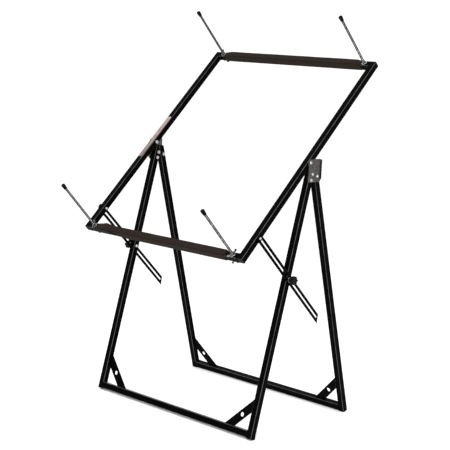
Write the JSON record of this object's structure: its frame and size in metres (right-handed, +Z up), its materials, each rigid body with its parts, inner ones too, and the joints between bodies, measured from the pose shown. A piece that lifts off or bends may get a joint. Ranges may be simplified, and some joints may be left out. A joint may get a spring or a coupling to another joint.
{
  "type": "tilting sheet support stand",
  "caption": "Padded tube cradle that tilts on a folding A-frame trestle, held by slotted stays with clamp knobs, with adjustable rubber-tipped rods at its corners.",
  "frame": {"origin": "centre of the part's bounding box in X and Y, on the floor under the trestle", "axes": "+Z up, +X towards the right when facing the low end of the cradle, +Y from the low front of the cradle towards its raised back"},
  "size_m": [0.922, 0.912, 1.5658],
  "materials": {
    "black_paint": "gloss",
    "stay_paint": "semi gloss",
    "plate_zinc": "dull zinc plate",
    "bolt_zinc": "bright zinc plate",
    "rod_zinc": "zinc plated thread",
    "wing_nut_zinc": "bright zinc plate",
    "tip_rubber": "matte",
    "plug_plastic": "matte",
    "knob_plastic": "matte",
    "padding": "matte felt",
    "label_film": "satin"
  },
  "bodies": {
    "front_frame": {"front_left_leg": "black_paint", "front_right_leg": "black_paint", "front_floor_rail": "black_paint", "front_left_gusset": "black_paint", "front_right_gusset": "black_paint", "left_hinge_plate": "plate_zinc", "right_hinge_plate": "plate_zinc", "cradle_pivot_bolts": "bolt_zinc", "front_leg_bolts": "bolt_zinc", "rear_pivot_bolts": "bolt_zinc", "hinge_nuts": "bolt_zinc", "clamp_bolts": "bolt_zinc"},
    "rear_frame": {"rear_left_leg": "black_paint", "rear_right_leg": "black_paint", "rear_floor_rail": "black_paint", "rear_left_gusset": "black_paint", "rear_right_gusset": "black_paint", "rear_leg_plugs": "plug_plastic"},
    "cradle": {"left_side_rail": "black_paint", "right_side_rail": "black_paint", "front_rail": "black_paint", "back_rail": "black_paint", "front_pad": "padding", "back_pad": "padding", "blank_label": "label_film", "rail_plugs": "plug_plastic", "rod_washers": "bolt_zinc", "stay_pivot_bolts": "bolt_zinc", "stay_pivot_nuts": "bolt_zinc", "stay_spacers": "bolt_zinc"},
    "left_stay_arm": {"left_stay": "stay_paint"},
    "right_stay_arm": {"right_stay": "stay_paint"},
    "left_clamp_knob": {"left_knob": "knob_plastic", "left_knob_stud": "bolt_zinc"},
    "right_clamp_knob": {"right_knob": "knob_plastic", "right_knob_stud": "bolt_zinc"},
    "front_left_corner_rod": {"front_left_rod": "rod_zinc", "front_left_tip": "tip_rubber"},
    "front_left_upper_nut": {"front_left_wing_nut": "wing_nut_zinc"},
    "front_left_under_nut": {"front_left_lower_nut": "wing_nut_zinc"},
    "front_right_corner_rod": {"front_right_rod": "rod_zinc", "front_right_tip": "tip_rubber"},
    "front_right_upper_nut": {"front_right_wing_nut": "wing_nut_zinc"},
    "front_right_under_nut": {"front_right_lower_nut": "wing_nut_zinc"},
    "back_left_corner_rod": {"back_left_rod": "rod_zinc", "back_left_tip": "tip_rubber"},
    "back_left_upper_nut": {"back_left_wing_nut": "wing_nut_zinc"},
    "back_left_under_nut": {"back_left_lower_nut": "wing_nut_zinc"},
    "back_right_corner_rod": {"back_right_rod": "rod_zinc", "back_right_tip": "tip_rubber"},
    "back_right_upper_nut": {"back_right_wing_nut": "wing_nut_zinc"},
    "back_right_under_nut": {"back_right_lower_nut": "wing_nut_zinc"}
  },
  "joints": [
    {"name": "rear_fold", "type": "hinge", "parent": "front_frame", "child": "rear_frame", "pos_m": [0, 0.10437, 0.9678], "axis": [1, 0, 0], "range_deg": [-30.4, 0]},
    {"name": "cradle_tilt", "type": "hinge", "parent": "front_frame", "child": "cradle", "pos_m": [0, 0.0625, 1.0198], "axis": [1, 0, 0], "range_deg": [-38.3, 6]},
    {"name": "left_stay_swing", "type": "hinge", "parent": "cradle", "child": "left_stay_arm", "pos_m": [-0.432, -0.20374, 0.75999], "axis": [1, 0, 0], "range_deg": [-4.6, 29.1]},
    {"name": "left_knob_turn", "type": "hinge", "parent": "front_frame", "child": "left_clamp_knob", "pos_m": [-0.451, -0.02759, 0.5888], "axis": [1, 0, 0], "continuous": true},
    {"name": "right_stay_swing", "type": "hinge", "parent": "cradle", "child": "right_stay_arm", "pos_m": [0.432, -0.20374, 0.75999], "axis": [1, 0, 0], "range_deg": [-4.6, 29.1]},
    {"name": "right_knob_turn", "type": "hinge", "parent": "front_frame", "child": "right_clamp_knob", "pos_m": [0.451, -0.02759, 0.5888], "axis": [1, 0, 0], "continuous": true},
    {"name": "front_left_rod_slide", "type": "slide", "parent": "cradle", "child": "front_left_corner_rod", "axis": [0, -0.6984, 0.7157], "range_m": [-0.17, 0.005]},
    {"name": "front_left_wing_nut_turn", "type": "hinge", "parent": "cradle", "child": "front_left_upper_nut", "pos_m": [-0.377, -0.27387, 0.69154], "axis": [0, -0.6984, 0.7157], "continuous": true},
    {"name": "front_left_lower_nut_turn", "type": "hinge", "parent": "cradle", "child": "front_left_under_nut", "pos_m": [-0.377, -0.27387, 0.69154], "axis": [0, -0.6984, 0.7157], "continuous": true},
    {"name": "front_right_rod_slide", "type": "slide", "parent": "cradle", "child": "front_right_corner_rod", "axis": [0, -0.6984, 0.7157], "range_m": [-0.17, 0.005]},
    {"name": "front_right_wing_nut_turn", "type": "hinge", "parent": "cradle", "child": "front_right_upper_nut", "pos_m": [0.377, -0.27387, 0.69154], "axis": [0, -0.6984, 0.7157], "continuous": true},
    {"name": "front_right_lower_nut_turn", "type": "hinge", "parent": "cradle", "child": "front_right_under_nut", "pos_m": [0.377, -0.27387, 0.69154], "axis": [0, -0.6984, 0.7157], "continuous": true},
    {"name": "back_left_rod_slide", "type": "slide", "parent": "cradle", "child": "back_left_corner_rod", "axis": [0, -0.6984, 0.7157], "range_m": [-0.17, 0.005]},
    {"name": "back_left_wing_nut_turn", "type": "hinge", "parent": "cradle", "child": "back_left_upper_nut", "pos_m": [-0.377, 0.43108, 1.37948], "axis": [0, -0.6984, 0.7157], "continuous": true},
    {"name": "back_left_lower_nut_turn", "type": "hinge", "parent": "cradle", "child": "back_left_under_nut", "pos_m": [-0.377, 0.43108, 1.37948], "axis": [0, -0.6984, 0.7157], "continuous": true},
    {"name": "back_right_rod_slide", "type": "slide", "parent": "cradle", "child": "back_right_corner_rod", "axis": [0, -0.6984, 0.7157], "range_m": [-0.17, 0.005]},
    {"name": "back_right_wing_nut_turn", "type": "hinge", "parent": "cradle", "child": "back_right_upper_nut", "pos_m": [0.377, 0.43108, 1.37948], "axis": [0, -0.6984, 0.7157], "continuous": true},
    {"name": "back_right_lower_nut_turn", "type": "hinge", "parent": "cradle", "child": "back_right_under_nut", "pos_m": [0.377, 0.43108, 1.37948], "axis": [0, -0.6984, 0.7157], "continuous": true}
  ],
  "couplings": [
    {"joint": "left_stay_swing", "follows": "cradle_tilt", "ratio": -0.757},
    {"joint": "right_stay_swing", "follows": "cradle_tilt", "ratio": -0.757}
  ]
}
